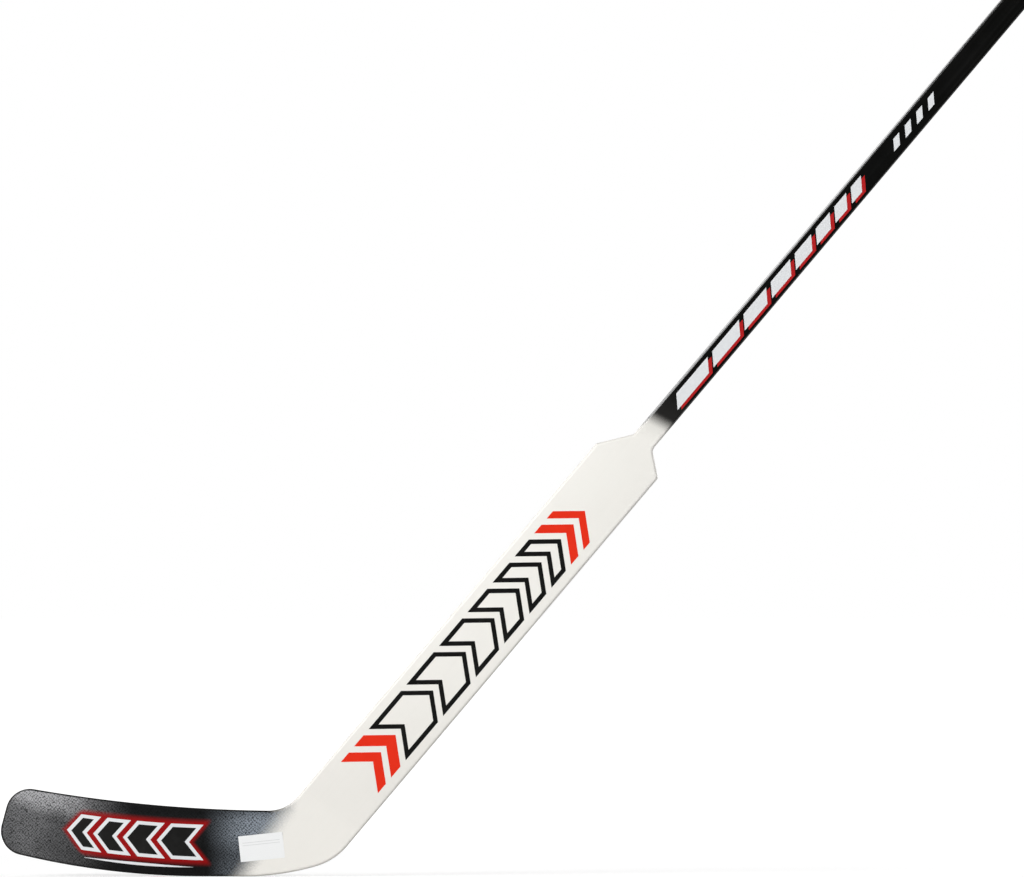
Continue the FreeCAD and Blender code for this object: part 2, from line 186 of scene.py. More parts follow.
# The room's light on the stick, the floor's half width, its two greys and its own white near the stick
AMBIENT = 0.42
FLOOR_HALF = 40.0
FLOOR_GREYS = (196, 200)
FLOOR_LIFT = 0.535
# Distances from the stick's middle over which the floor turns plain white
FLOOR_FADE = (1.6, 3.2)
# Distances before and behind the stick over which mirror rays see the floor turn dim
FLOOR_DIM = (0.03, 0.5)
STAGE_MIDDLE = Vector((0.38, 0.0, 0.55))
# Name, degrees round from the front, degrees up, distance, width, height, share of a facing surface's light
LAMPS = (
    ("lamp_left_front", -42.0, 18.0, 5.5, 2.8, 3.0, 0.94),
    ("lamp_right_front", 52.0, 16.0, 3.8, 1.6, 2.0, 0.20),
    ("lamp_right_back", 134.0, 16.0, 3.6, 1.6, 2.4, 0.55),
    ("lamp_left_back", 226.0, 14.0, 3.6, 1.6, 2.4, 0.18),
)
# The same for a strip high on the left, which shows only as a highlight along glossy edges
EDGE_LAMP = ("lamp_left_strip", 253.0, 46.0, 3.6, 2.6, 0.7, 0.45)


def linear(red, green, blue):
    """Scene colour of a screen colour given as 0 to 255."""
    share = np.array((red, green, blue)) / 255.0
    return tuple(np.where(share <= 0.04045, share / 12.92, ((share + 0.055) / 1.055) ** 2.4))


def length(name, description, default):
    """A length that a user may set."""
    return FloatProperty(name=name, description=description, default=default, min=0.0, unit="LENGTH")


def count(name, description, default):
    """A number of marks that a user may set."""
    return IntProperty(name=name, description=description, default=default, min=1)


def colour(name, description, default):
    """A paint or print colour that a user may set."""
    return FloatVectorProperty(
        name=name, description=description, default=default, min=0.0, max=1.0, subtype="COLOR"
    )


class StickSizes(bpy.types.PropertyGroup):
    """Sizes of the paint's fades and of the prints and label."""

    neck_fade_middle: length("Neck fade", "Height up the stick at which white turns to black", 0.6715)
    neck_fade_length: length("Neck fade length", "Length of the neck's fade", 0.024)
    neck_haze_length: length("Neck haze length", "How far a thin haze runs down from the neck's fade", 0.030)
    weave_pitch: length("Weave pitch", "Width of one strand of the blade's glass cloth", 0.0032)
    glow_reach: length("Glow reach", "How far the red glow spreads round the blade's marks", 0.009)
    crown_height: length("Crown", "How far the paddle's enamel stands proud along its middle", 0.0013)
    mark_shrink: FloatProperty(
        name="Mark shrink", description="Each mark's length as a share of the last", default=0.85, min=0.1
    )

    outline_width: length("Outline", "Width of the line round a paddle mark", 0.0056)
    mark_count: count("Paddle marks", "Outlined chevrons on the paddle", 6)
    mark_start: length("First mark", "Height up the stick of the first outlined chevron", 0.150)
    mark_height: length("Mark height", "Height of the first outlined chevron", 0.062)
    mark_half_width: length("Mark half width", "Half the width of the paddle's chevrons", 0.030)
    mark_point: length("Mark point", "How far a paddle chevron's point stands above its arms", 0.026)
    mark_gap: length("Mark gap", "Gap between the paddle's chevrons", 0.010)
    red_count: count("Red marks", "Red chevrons below and above the outlined ones", 2)
    red_low_height: length("Lower red height", "Height of the first red chevron below the others", 0.018)
    red_high_height: length("Upper red height", "Height of the first red chevron above the others", 0.014)

    bar_count: count("Shaft bars", "Slanted bars on the shaft", 8)
    bar_start: length("First bar", "Height up the stick of the first slanted bar", 0.706)
    bar_length: length("Bar length", "Length of the first slanted bar", 0.060)
    bar_half_width: length("Bar half width", "Half the width of the shaft's bars", 0.0072)
    bar_gap: length("Bar gap", "Gap between the shaft's bars", 0.009)
    bar_shadow: length("Bar shadow", "How far the red shadow stands off a bar", 0.0034)
    tick_count: count("Shaft ticks", "Short ticks high on the shaft", 4)
    tick_start: length("First tick", "Height up the stick of the first tick", 1.122)
    tick_length: length("Tick length", "Length of a tick", 0.011)
    tick_half_width: length("Tick half width", "Half the width of a tick", 0.0055)

    dart_count: count("Blade marks", "Chevrons on the blade", 4)
    dart_start: length("First blade mark", "Distance of the first chevron from the sole's middle", 0.025)
    dart_height: length("Blade mark length", "Length of the first chevron on the blade", 0.040)
    dart_half_width: length("Blade mark half width", "Half the height of the blade's chevrons", 0.022)
    dart_point: length("Blade mark point", "How far a blade chevron's point stands out", 0.018)
    dart_gap: length("Blade mark gap", "Gap between the blade's chevrons", 0.008)
    dart_outline: length("Blade outline", "Width of the line round a blade mark", 0.0042)
    line_start: length("Blade line", "Distance of the tapered line from the sole's middle", 0.038)
    line_length: length("Blade line length", "Length of the tapered line", 0.135)
    line_half_width: length("Blade line half width", "Half the greatest width of the tapered line", 0.0017)
    line_depth: length("Blade line depth", "How far below the blade's midline the tapered line runs", 0.031)

    label_from_middle: length("Label place", "Distance of the label's middle from the sole's middle", 0.0469)
    label_above_sole: length("Label rise", "Height of the label's middle above the floor", 0.0364)
    label_length: length("Label length", "Length of the paper label", 0.055)
    label_height: length("Label height", "Height of the paper label", 0.032)
    label_curl: length("Label curl", "How far the label's free corner lifts", 0.0007)
    label_tilt: FloatProperty(
        name="Label tilt", description="Tilt of the label", default=math.radians(6), subtype="ANGLE"
    )


class StickColours(bpy.types.PropertyGroup):
    """Colours of paint, prints and bare materials."""

    white: colour("White paint", "Gloss enamel of the paddle and heel", linear(242, 240, 234))
    # This colour also serves as painted shade on rounded and upward-facing edges
    shade: colour("White paint, thin", "The white where it is thinner", linear(228, 225, 219))
    black: colour("Black paint", "Satin paint of the shaft and blade", linear(8, 8, 7))
    worn: colour("Black paint, worn", "The black where it is rubbed or thin", linear(74, 74, 74))
    # The heel's grey is partly thin spray and partly painted sheen, darker near the sole
    heel_haze_and_sheen: colour("Heel haze", "Thin spray over the glass cloth before the heel", linear(138, 146, 155))
    # The toe's grey is partly thin spray and partly painted sheen
    toe_haze_and_sheen: colour("Toe haze", "Thin spray over the glass cloth at the toe", linear(165, 165, 167))
    red: colour("Red print", "Red of the paddle's prints", linear(229, 46, 22))
    deep_red: colour("Deep red print", "Red of the shaft's prints", linear(176, 30, 32))
    glow: colour("Red glow", "Deep red sprayed round the blade's marks", linear(150, 14, 16))
    ink_white: colour("White print", "White of the prints", linear(222, 224, 226))
    ink_black: colour("Black print", "Black of the prints", linear(15, 15, 14))
    paper: colour("Label paper", "Coated paper of the label", linear(240, 241, 241))
    core: colour("Core wood", "End grain of the shaft's core", linear(222, 199, 158))
    ply: colour("Ply wood", "End grain of the shaft's hardwood plies", linear(196, 158, 110))
    resin: colour("Glass ply", "Cut edge of the glass plies", linear(176, 172, 132))
    foam: colour("Foam", "Rigid foam of the cores", linear(226, 208, 158))


def rgba(value):
    """A colour with full cover; an output passes as it is."""
    return value if isinstance(value, bpy.types.NodeSocket) else (*tuple(value)[:3], 1.0)


class Nodes:
    """A node tree being filled, with short calls for its nodes and links."""

    def __init__(self, tree):
        self.tree = tree

    def node(self, kind, inputs=(), **settings):
        """Adds one node; inputs are pairs of socket and value or output."""
        made = self.tree.nodes.new(kind)
        for key, value in settings.items():
            setattr(made, key, value)
        for key, value in inputs:
            self.feed(made.inputs[key], value)
        return made

    def feed(self, socket, value):
        """Links an output to a socket, or sets the socket's own value."""
        if isinstance(value, bpy.types.NodeSocket):
            self.tree.links.new(value, socket)
        else:
            socket.default_value = value

    def math(self, operation, *values):
        """One Math node."""
        return self.node("ShaderNodeMath", enumerate(values), operation=operation).outputs[0]

    def total(self, first, *others):
        """Sum of several numbers."""
        for other in others:
            first = self.math("ADD", first, other)
        return first

    def product(self, first, *others):
        """Product of several numbers."""
        for other in others:
            first = self.math("MULTIPLY", first, other)
        return first

    def ramp(self, value, low, high, to_low=0.0, to_high=1.0):
        """Smooth step of value, from to_low at low to to_high at high."""
        names = ("Value", "From Min", "From Max", "To Min", "To Max")
        pairs = zip(names, (value, low, high, to_low, to_high))
        return self.node("ShaderNodeMapRange", pairs, interpolation_type="SMOOTHSTEP").outputs[0]

    def mix(self, factor, first, second):
        """Mix of two colours."""
        pairs = zip((0, 6, 7), (factor, rgba(first), rgba(second)))
        return self.node("ShaderNodeMix", pairs, data_type="RGBA").outputs[2]

    def blend(self, factor, first, second):
        """Mix of two numbers."""
        return self.node("ShaderNodeMix", zip((0, 2, 3), (factor, first, second))).outputs[0]

    def dot(self, vector, direction):
        """Length of vector along a direction."""
        pairs = ((0, vector), (1, tuple(direction)))
        return self.node("ShaderNodeVectorMath", pairs, operation="DOT_PRODUCT").outputs["Value"]

    def distance(self, vector, spot):
        """Distance of a place from a spot."""
        pairs = ((0, vector), (1, tuple(spot)))
        return self.node("ShaderNodeVectorMath", pairs, operation="DISTANCE").outputs["Value"]

    def split(self, vector):
        """The three parts of a vector."""
        return self.node("ShaderNodeSeparateXYZ", ((0, vector),)).outputs

    def noise(self, vector, scale, detail=2.0):
        """Cloudy noise with so many cells a metre."""
        pairs = (("Vector", vector), ("Scale", scale), ("Detail", detail))
        return self.node("ShaderNodeTexNoise", pairs).outputs[0]

    def mirror_rays(self):
        """One for mirror and see-through rays."""
        path = self.node("ShaderNodeLightPath").outputs
        return self.math("MAXIMUM", path["Is Glossy Ray"], path["Is Transmission Ray"])

    def camera_rays(self):
        """One for rays straight from the camera."""
        return self.node("ShaderNodeLightPath").outputs["Is Camera Ray"]

    def beside(self, direction):
        """One to the stick's sides, nearly nought straight before it and under a half straight behind it."""
        through = self.split(direction)[1]
        before = self.ramp(through, -0.92, -0.55, 0.04, 1.0)
        behind = self.ramp(through, 0.6, 0.95, 1.0, 0.4)
        return self.product(before, behind)


class Finish(Nodes):
    """A material being made."""

    def __init__(self, name):
        self.material = bpy.data.materials.new(name)
        self.material.use_nodes = True
        super().__init__(self.material.node_tree)
        self.shader = self.tree.nodes["Principled BSDF"]
        self.place = self.node("ShaderNodeTexCoord").outputs["Object"]
        self.normal = self.node("ShaderNodeNewGeometry").outputs["Normal"]

    def up(self):
        """Height up the stick from the heel's corner."""
        return self.total(self.dot(self.place, AXIS), STICK_LENGTH - float(BUTT @ AXIS))

    def aside(self):
        """Distance from the stick's centreline, towards the blade's side."""
        return self.math("SUBTRACT", self.dot(self.place, ACROSS), float(BUTT @ ACROSS))

    def drawn_out(self, along, through, across):
        """Place in the stick's own axes, scaled along, through and across it, for lengthwise grain."""
        parts = zip((self.up(), self.split(self.place)[1], self.aside()), (along, through, across))
        scaled = [self.product(part, scale) for part, scale in parts]
        return self.node("ShaderNodeCombineXYZ", enumerate(scaled)).outputs[0]

    def facing(self):
        """One on the wide faces and nought on the edges, with the rounding between."""
        return self.ramp(self.math("ABSOLUTE", self.split(self.normal)[1]), 0.80, 0.985)

    def rounding(self):
        """One in the middle of a rounded edge and nought on the faces it joins.

        With s the square of the normal's part through the stick, it is 4 s (1 - s).
        """
        through = self.split(self.normal)[1]
        square = self.product(through, through)
        return self.product(square, self.math("SUBTRACT", 1.0, square), 4.0)

    def rounded(self):
        """One over most of a rounded edge, and nought on the faces it joins."""
        return self.ramp(self.rounding(), 0.1, 0.6)

    def scatter(self, speck, reach):
        """Moves a fade's edge to and fro with a noise, over a reach in metres."""
        return self.product(self.math("SUBTRACT", speck, 0.5), reach)

    def peel(self):
        """The slightly pebbled skin of sprayed paint."""
        return self.noise(self.place, scale=420.0, detail=1.0)

    def bump(self, height, distance, normal=None):
        """Bump of a height from nought to one, so many metres high."""
        pairs = [("Height", height), ("Distance", distance), ("Strength", 1.0)]
        if normal is not None:
            pairs.append(("Normal", normal))
        return self.node("ShaderNodeBump", pairs).outputs[0]

    def done(self, base, roughness, normal, gloss=0.5, coat=0.0):
        """Feeds the shader and hands over the material; gloss is the light given back to a square-on look."""
        self.feed(self.shader.inputs["Base Color"], base)
        self.feed(self.shader.inputs["Roughness"], roughness)
        self.feed(self.shader.inputs["Normal"], normal)
        self.shader.inputs["Specular IOR Level"].default_value = gloss
        self.feed(self.shader.inputs["Coat Weight"], coat)
        self.shader.inputs["Coat Roughness"].default_value = COAT_ROUGHNESS
        return self.material


def white_coat(f, colours):
    """Off-white enamel with slow clouds and faint fibres, darker towards the heel and on rounded edges; the
    edges partly as thinner paint and partly as painted shade.

    Edges that face up are painted a little darker, as painted shade. The colour and the fibres are handed
    over.
    """
    clouds = f.ramp(f.noise(f.place, scale=3.5, detail=0.0), *NOISE_SPAN, to_high=0.10)
    # The white is darker towards the heel
    heel = f.ramp(f.up(), *HEEL_DARKER_SPAN, 0.42, 0.0)
    fibres = f.noise(f.drawn_out(along=5.0, through=90.0, across=240.0), scale=1.0)
    # Rounded edges are darker, partly as thinner paint and partly as painted shade
    thin = f.ramp(f.rounding(), 0.3, 0.9, to_high=0.85)
    # Painted shade: edges that face up are made darker
    upward_edge_shade = f.ramp(f.split(f.normal)[2], 0.75, 0.92, to_high=0.9)
    streaks = f.ramp(fibres, *FIBRE_SPAN, to_high=0.08)
    amount = f.total(clouds, heel, f.math("MAXIMUM", thin, upward_edge_shade), streaks)
    return f.mix(amount, colours.white, colours.shade), fibres


def paddle_crown(f, sizes):
    """Height of the enamel's slight crown: a parabola across the paddle that fades out at heel and neck."""
    share = f.math("DIVIDE", f.aside(), PADDLE_HALF)
    round_top = f.math("SUBTRACT", 1.0, f.product(share, share))
    from_heel = f.ramp(f.up(), *CROWN_STARTS)
    to_neck = f.ramp(f.up(), *CROWN_ENDS, sizes.crown_height, 0.0)
    return f.product(round_top, from_heel, to_neck)


def paddle_paint(sizes, colours):
    """Gloss off-white enamel, dull on rounded edges, with the neck's haze on its top."""
    f = Finish("paddle_paint")
    white, fibres = white_coat(f, colours)
    base = f.mix(neck_cover(f, sizes), white, colours.black)
    normal = f.bump(paddle_crown(f, sizes), 1.0)
    normal = f.bump(f.peel(), PADDLE_PEEL, normal)
    normal = f.bump(fibres, FIBRE_RELIEF, normal)
    enamel = f.ramp(f.noise(f.place, scale=25.0), *NOISE_SPAN, *ENAMEL_ROUGHNESS)
    edge = f.rounded()
    return f.done(base, f.blend(edge, enamel, DULL_EDGE), normal, coat=f.blend(edge, WHITE_COAT, 0.0))


def end_grain(f, bare, rings):
    """Sawn end of a strip: curved year rings with pores, in the colour bare and its paler early wood."""
    pale = tuple(min(1.0, EARLY_WOOD * part) for part in bare)
    dark = tuple(PORE_SHADE * part for part in bare)
    wobble = f.product(f.noise(f.place, scale=160.0), RING_WOBBLE)
    radius = f.total(f.distance(f.drawn_out(0.0, 1.0, 1.0), PITH), wobble)
    ring = f.math("FRACT", f.product(radius, rings))
    pores = f.ramp(f.noise(f.place, scale=3800.0, detail=1.0), 0.62, 0.72, to_high=0.55)
    return f.mix(pores, f.mix(f.ramp(ring, 0.25, 0.95), pale, bare), dark)


def neck_cover(f, sizes):
    """How much of the shaft's black covers the white: a speckled fade at the neck, with a thin haze below it.

    The fade sits a little lower on the blade's side and on the narrow edges.
    """
    speck = f.noise(f.place, scale=1500.0, detail=1.0)
    lean = f.product(f.aside(), NECK_LEAN)
    edge = f.math("SUBTRACT", 1.0, f.facing())
    lower = f.product(edge, f.ramp(f.aside(), -0.01, 0.01, *NECK_DROP))
    height = f.total(f.up(), lean, lower, f.scatter(speck, NECK_SCATTER))
    middle, half = sizes.neck_fade_middle, sizes.neck_fade_length / 2
    haze = f.ramp(height, middle - sizes.neck_haze_length, middle, to_high=NECK_HAZE)
    full = f.ramp(height, middle + half, middle + 2 * sizes.neck_haze_length, 0.985, 1.0)
    fade = f.ramp(height, middle - half, middle + half)
    return f.math("MAXIMUM", f.product(fade, full), haze)


def shaft_paint(name, bare, rings, sizes, colours):
    """Satin black over the shaft's plies: white at the neck, rubbed at the edges, sawn bare at the butt.

    Rounded edges are glossy where they are black and dull where they are white.
    """
    f = Finish(name)
    white, fibres = white_coat(f, colours)
    grain = f.noise(f.drawn_out(along=60.0, through=400.0, across=400.0), scale=1.0)
    rub = f.product(f.ramp(f.rounding(), 0.6, 1.0, to_high=0.25), f.ramp(grain, 0.55, 0.8))
    worn = f.total(rub, f.ramp(fibres, *FIBRE_SPAN, to_high=0.04))
    cover = neck_cover(f, sizes)
    painted = f.mix(cover, white, f.mix(worn, colours.black, colours.worn))

    cut = f.ramp(f.dot(f.normal, AXIS), 0.40, 0.52)
    base = f.mix(cut, painted, end_grain(f, bare, rings))
    saw = f.noise(f.drawn_out(along=0.0, through=2200.0, across=120.0), scale=1.0)
    normal = f.bump(f.product(f.peel(), f.facing()), SHAFT_PEEL)
    normal = f.bump(f.product(fibres, f.facing()), FIBRE_RELIEF, normal)
    normal = f.bump(f.product(saw, cut), SAW_RELIEF, normal)

    edge = f.rounded()
    satin = f.ramp(f.noise(f.place, scale=30.0), *NOISE_SPAN, *SHAFT_ROUGHNESS)
    satin = f.blend(edge, satin, f.blend(cover, DULL_EDGE, SHINY_EDGE))
    coat = f.blend(edge, f.blend(cover, WHITE_COAT, 0.0), cover)
    return f.done(base, f.blend(cut, satin, SAWN_ROUGHNESS), normal, SHAFT_GLOSS, coat)


def weave(f, pitch):
    """Height of plain-woven cloth laid at 45 degrees: of two crossing strands, the upper one's round top.

    A little noise moves the strands about, as in cloth that was pressed by hand.
    """
    half = math.sqrt(0.5) / pitch
    drift = f.product(f.noise(f.place, scale=140.0), WEAVE_DRIFT)
    strands = [f.total(f.dot(f.place, (sign * half, 0.0, half)), drift) for sign in (1.0, -1.0)]
    over = f.math("PINGPONG", f.total(*[f.math("FLOOR", strand) for strand in strands]), 1.0)
    tops = [f.math("SINE", f.product(f.math("FRACT", strand), math.pi)) for strand in strands]
    return f.blend(over, *tops)


def above_midline(f, x, z):
    """Height above the blade's midline, which rises from the heel to the toe as a parabola."""
    rise = f.math("SUBTRACT", x, MIDLINE_FOOT)
    midline = f.math("MULTIPLY_ADD", f.product(rise, rise), MIDLINE_RISE, MIDLINE_LOW)
    return f.math("SUBTRACT", z, midline)


def blade_glow(f, x, above, sizes):
    """Soft patch round the blade's chevrons: one inside their common outline, falling off over the reach.

    Folding the patch along the midline turns the row of chevrons into one upright rectangle.
    """
    apart = f.math("ABSOLUTE", above)
    slope = sizes.dart_point / sizes.dart_half_width
    folded = f.math("SUBTRACT", f.math("MULTIPLY_ADD", apart, slope, -sizes.dart_point), x)
    half_run = (sum(blade_row(sizes)[-1]) - sizes.dart_start) / 2
    middle = sizes.dart_start + half_run
    beside = f.math("SUBTRACT", f.math("ABSOLUTE", f.math("SUBTRACT", folded, middle)), half_run)
    beyond = f.math("SUBTRACT", apart, sizes.dart_half_width)
    away = [f.math("MAXIMUM", part, 0.0) for part in (beside, beyond)]
    squares = f.total(*[f.product(part, part) for part in away])
    return f.ramp(f.math("SQRT", squares), 0.0, sizes.glow_reach, 1.0, 0.0)


def heel_slope(f, z, face, speck):
    """Distance from the stick's outer edge that the heel's fade follows.

    It leans with height, falls back up the paddle and on narrow edges, and the spray's specks break it up.
    """
    up_paddle = f.math("MAXIMUM", f.math("SUBTRACT", f.up(), HEEL_TOP), 0.0)
    return f.total(
        f.aside(),
        PADDLE_HALF,
        f.product(z, HEEL_LEAN),
        f.product(up_paddle, PADDLE_LEAN),
        f.product(f.math("SUBTRACT", face, 1.0), EDGE_SETBACK),
        f.scatter(speck, HEEL_SCATTER),
    )


def heel_haze_and_sheen(f, slope, above, z):
    """Share of grey before the heel, partly thin spray and partly painted sheen: it falls off into the black,
    near the top and near the sole.
    """
    reach = f.math("MULTIPLY_ADD", z, HAZE_GAIN, HAZE_REACH)
    deep = f.ramp(f.math("DIVIDE", f.math("SUBTRACT", slope, HAZE_START), reach), 0.0, 1.0)
    left = f.math("MAXIMUM", f.math("SUBTRACT", 1.0, deep), 0.03)
    top = f.ramp(above, *HAZE_TOP, 1.0, 0.55)
    sole = f.ramp(z, *HAZE_SOLE, 0.26, 0.85)
    return f.product(left, top, sole)


def toe_haze_and_sheen(f, x, above):
    """Share of grey at the toe, partly thin spray and partly painted sheen: an uneven veil, and a leaning
    streak that trails along the top.
    """
    leaning = f.math("MULTIPLY_ADD", f.total(x, STREAK_PLACE), STREAK_LEAN, above)
    along = f.total(f.ramp(x, *STREAK_TAIL, to_high=0.25), f.ramp(x, *STREAK_HEAD, to_high=0.77))
    streak = f.product(along, f.ramp(leaning, *STREAK_RISE, to_high=0.76))
    veil = f.ramp(x, *TOE_VEIL, to_high=0.24)
    drifts = f.noise(f.place, scale=22.0, detail=3.0)
    return f.product(f.total(veil, streak), f.ramp(drifts, *NOISE_SPAN, 0.75, 1.15))


def blade_paint(sizes, colours):
    """Satin black over woven glass: grey haze, partly thin spray and partly painted sheen, at the toe and
    before the white heel, red round the marks.
    """
    f = Finish("blade_paint")
    x, _, z = f.split(f.place)
    above = above_midline(f, x, z)
    face = f.facing()
    white, _ = white_coat(f, colours)
    cloth = weave(f, sizes.weave_pitch)
    speck = f.noise(f.place, scale=640.0, detail=2.0)
    slope = heel_slope(f, z, face, speck)
    cover = f.ramp(slope, *HEEL_FADE)

    strands = f.blend(SPECK_SHARE, cloth, f.ramp(speck, 0.2, 0.8))
    thin = f.product(face, f.ramp(strands, 0.1, 0.9, 0.0, 1.62))
    heel = f.product(heel_haze_and_sheen(f, slope, above, z), thin)
    toe = f.product(toe_haze_and_sheen(f, x, above), thin)
    dark = f.mix(toe, f.mix(heel, colours.black, colours.heel_haze_and_sheen), colours.toe_haze_and_sheen)
    glow = f.product(blade_glow(f, x, above, sizes), face, GLOW_COVER)
    base = f.mix(cover, white, f.mix(glow, dark, colours.glow))

    relief = f.product(cloth, face, f.ramp(cover, 0.0, 0.6, 0.2, 1.0))
    normal = f.bump(f.noise(f.place, scale=500.0, detail=1.0), BLADE_PEEL)
    normal = f.bump(relief, CLOTH_RELIEF, normal)
    satin = f.ramp(speck, *NOISE_SPAN, *BLADE_ROUGHNESS)
    coat = f.blend(cover, WHITE_COAT, 0.0)
    return f.done(base, f.blend(cover, HEEL_ROUGHNESS, satin), normal, BLADE_GLOSS, coat)


def foam_finish(colours):
    """Rigid foam: small closed cells."""
    f = Finish("foam_cells")
    cells = f.node("ShaderNodeTexVoronoi", (("Vector", f.place), ("Scale", 900.0))).outputs["Distance"]
    base = f.mix(f.ramp(cells, 0.1, 0.8), tuple(0.8 * part for part in colours.foam), colours.foam)
    return f.done(base, f.ramp(cells, 0.0, 1.0, 0.75, 0.95), f.bump(cells, CELL_RELIEF))


def print_ink(name, ink, faded):
    """Screen-printed ink: nearly even, with slightly thinner patches and a fine pebbled surface."""
    f = Finish(name)
    thin = f.ramp(f.noise(f.place, scale=55.0, detail=4.0), 0.45, 0.75, to_high=0.06)
    pebble = f.noise(f.place, scale=1300.0, detail=1.0)
    base = f.mix(f.total(thin, f.ramp(pebble, 0.55, 0.8, to_high=0.08)), ink, faded)
    roughness = f.ramp(pebble, *NOISE_SPAN, *INK_ROUGHNESS)
    return f.done(base, roughness, f.bump(pebble, PEBBLE_RELIEF), gloss=INK_GLOSS)


def label_paper(colours):
    """Coated paper, plain but for two pale rules, read from the label's own UV map."""
    f = Finish("label_paper")
    u, v, _ = f.split(f.node("ShaderNodeUVMap", uv_map="label").outputs[0])
    fibre = f.noise(f.place, scale=1800.0, detail=3.0)
    inside = f.math("LESS_THAN", f.math("ABSOLUTE", f.math("SUBTRACT", u, 0.5)), RULE_HALF_LENGTH)
    apart = [f.math("ABSOLUTE", f.math("SUBTRACT", v, level)) for level in RULES]
    ruled = f.product(f.math("LESS_THAN", f.math("MINIMUM", *apart), RULE_HALF_WIDTH), inside)
    pale, grey = (tuple(share * part for part in colours.paper) for share in (0.95, 0.4))
    paper = f.mix(f.ramp(fibre, 0.35, 0.75), colours.paper, pale)
    base = f.mix(f.product(ruled, RULE_STRENGTH), paper, grey)
    return f.done(base, f.ramp(fibre, *NOISE_SPAN, *PAPER_ROUGHNESS), f.bump(fibre, PEBBLE_RELIEF))


def row_of(number, start, first, shrink, gap):
    """Starts and lengths of a row of marks that shrink and keep one gap."""
    spans = first * shrink ** np.arange(number)
    starts = start + np.concatenate(([0.0], np.cumsum(spans[:-1] + gap)))
    return list(zip(starts.tolist(), spans.tolist()))


def blade_row(sizes):
    """Starts and lengths of the blade's chevrons, towards the toe."""
    return row_of(sizes.dart_count, sizes.dart_start, sizes.dart_height, sizes.mark_shrink, sizes.dart_gap)


def blade_depth(run, side):
    """Depth of a blade face: level up to the bend's start, then an arc of one radius towards the toe."""
    drop = BEND_DROP[side]
    radius = (BEND_RUN ** 2 + drop ** 2) / (2 * drop)
    past = np.clip(BEND_START - run, 0.0, None)
    return SIDES[side] * HALF_THICKNESS + radius - np.sqrt(radius ** 2 - past ** 2)


def on_stick(flat, side):
    """Points on a flat face of the stick, from heights up its axis and distances from its centreline."""
    points = BUTT + (flat[..., :1] - STICK_LENGTH) * AXIS + flat[..., 1:] * ACROSS
    points[..., 1] = SIDES[side] * (HALF_THICKNESS - SUNK)
    return points


def on_blade(flat, side):
    """Points on a bent face of the blade, from distances towards the toe and heights above its midline."""
    run = -flat[..., 0]
    midline = MIDLINE_LOW + MIDLINE_RISE * (run - MIDLINE_FOOT) ** 2
    return np.stack((run, blade_depth(run, side) - SIDES[side] * SUNK, midline + flat[..., 1]), -1)


def chevron_corners(start, height, half_width, point):
    """The six corners of a chevron that points along its row."""
    top = start + height
    along = (start, top, top + point, top, start, start + point)
    aside = (-half_width, -half_width, 0.0, half_width, half_width, 0.0)
    return np.stack((along, aside), 1)


def chevron_fill(start, height, half_width, point, steps=13):
    """A filled chevron: across it the edge falls from the point as the distance from the middle grows."""
    share, level = np.meshgrid(np.linspace(-1.0, 1.0, steps), np.linspace(0.0, 1.0, steps), indexing="ij")
    return np.stack((start + level * height + point * (1.0 - np.abs(share)), share * half_width), -1)


def outline(corners, width, steps=12):
    """A band of one width inside a closed outline.

    Each inner corner lies on the half-angle of its outer corner, so that both its sides move in by the width.
    """
    following = np.roll(corners, -1, 0)
    sides = following - corners
    area = np.sum(corners[:, 0] * following[:, 1] - following[:, 0] * corners[:, 1])
    sides /= np.linalg.norm(sides, axis=1, keepdims=True)
    inward = np.sign(area) * np.stack((-sides[:, 1], sides[:, 0]), 1)
    before = np.roll(inward, 1, 0)
    inner = corners + width * (inward + before) / (1.0 + np.sum(inward * before, 1, keepdims=True))
    share = np.arange(steps)[None, :, None] / steps
    lines = [
        line[:, None] * (1.0 - share) + np.roll(line, -1, 0)[:, None] * share for line in (corners, inner)
    ]
    return np.stack([line.reshape(-1, 2) for line in lines], 1)


def slanted_bar(start, span, half_width, shift=0.0):
    """A bar whose ends lean at 45 degrees: each point moves up its row by its distance aside.

    A shift moves it as far up the row as to the outer side.
    """
    level, share = np.meshgrid((0.0, 1.0), (-1.0, 1.0), indexing="ij")
    aside = share * half_width
    return np.stack((start + level * span + aside + shift, aside - shift), -1)


def tapered_line(start, span, half_width, above, steps=41):
    """A line that thins to a blunt tip at both ends, its half width a sine of the way along."""
    level, share = np.meshgrid(np.linspace(0.0, 1.0, steps), (-1.0, 0.0, 1.0), indexing="ij")
    half = half_width * (TIP + (1.0 - TIP) * np.sin(np.pi * level))
    return np.stack((start + level * span, above + share * half), -1)


def grid_faces(shape, first, closed):
    """Four-cornered faces of a grid of points, joined end to end where it is closed."""
    index = first + np.arange(shape[0] * shape[1]).reshape(shape)
    if closed:
        index = np.concatenate((index, index[:1]))
    return np.stack((index[:-1, :-1], index[1:, :-1], index[1:, 1:], index[:-1, 1:]), -1).reshape(-1, 4)


def turned_out(points, faces, side):
    """The same faces, wound so that each looks out of its side of the stick."""
    across = points[faces[:, 2]] - points[faces[:, 0]]
    along = points[faces[:, 3]] - points[faces[:, 1]]
    wrong = np.cross(across, along)[:, 1] * SIDES[side] < 0
    return np.where(wrong[:, None], faces[:, ::-1], faces)


def film(name, sheets, side, thickness, material, closed=False):
    """A print or paper: grids of points on a face, thickened outwards, the underside just in the paint."""
    firsts = np.cumsum([0] + [sheet.shape[0] * sheet.shape[1] for sheet in sheets])
    points = np.concatenate([sheet.reshape(-1, 3) for sheet in sheets])
    faces = [grid_faces(sheet.shape[:2], first, closed) for sheet, first in zip(sheets, firsts)]
    mesh = bpy.data.meshes.new(name)
    mesh.from_pydata(points.tolist(), [], turned_out(points, np.concatenate(faces), side).tolist())
    mesh.materials.append(material)
    piece = bpy.data.objects.new(name, mesh)
    bpy.context.scene.collection.objects.link(piece)
    wall = piece.modifiers.new("thickness", "SOLIDIFY")
    wall.thickness = thickness
    wall.offset = 1.0
    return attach(piece, BODY)


